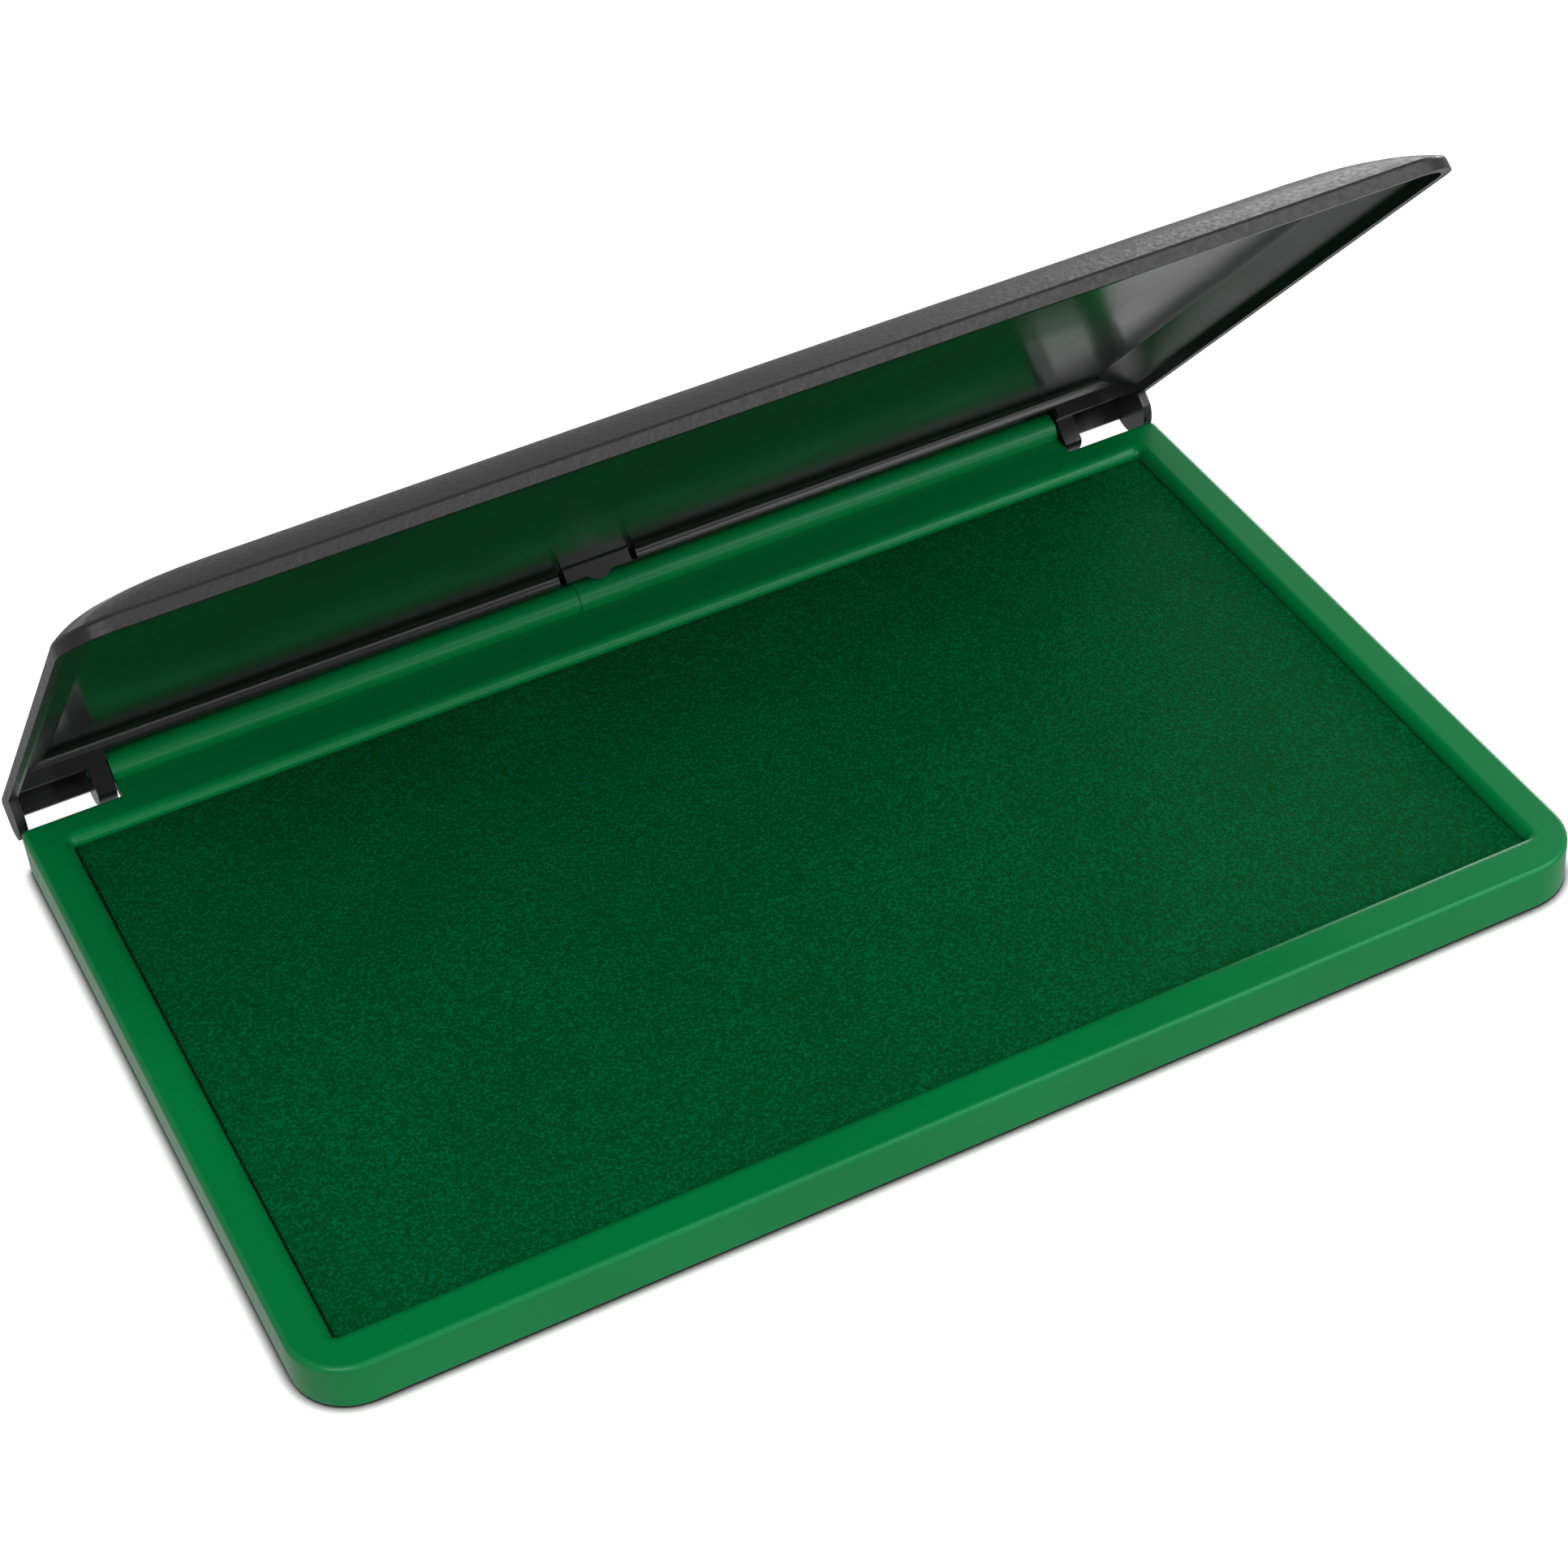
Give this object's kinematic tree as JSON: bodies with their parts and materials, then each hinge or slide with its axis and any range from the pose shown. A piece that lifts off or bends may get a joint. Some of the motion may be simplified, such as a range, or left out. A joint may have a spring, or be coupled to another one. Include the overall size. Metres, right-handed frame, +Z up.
{
  "type": "ink pad",
  "caption": "Flat rectangular ink pad for rubber stamps, in a shallow plastic tray with a hinged bevelled lid.",
  "frame": {"origin": "on the table plane, under the middle of the pad", "axes": "+X along the hinge, -Y towards the edge the lid opens from, +Z up"},
  "size_m": [0.1714, 0.1157, 0.0885],
  "materials": {
    "tray_plastic": "satin moulded",
    "lid_plastic": "finely grained outside, glossy inside",
    "inked_cloth": "close woven cloth soaked with ink",
    "ink_felt": "inked felt",
    "backing_board": "plain"
  },
  "bodies": {
    "base": {"tray": "tray_plastic", "pad_cloth": "inked_cloth", "pad_felt": "ink_felt", "pad_board": "backing_board"},
    "cover": {"lid": "lid_plastic"}
  },
  "joints": [
    {"name": "lid_hinge", "type": "hinge", "parent": "base", "child": "cover", "pos_m": [0, 0.0575, 0.007], "axis": [-1, 0, 0], "range_deg": [-46.8, 58]}
  ]
}
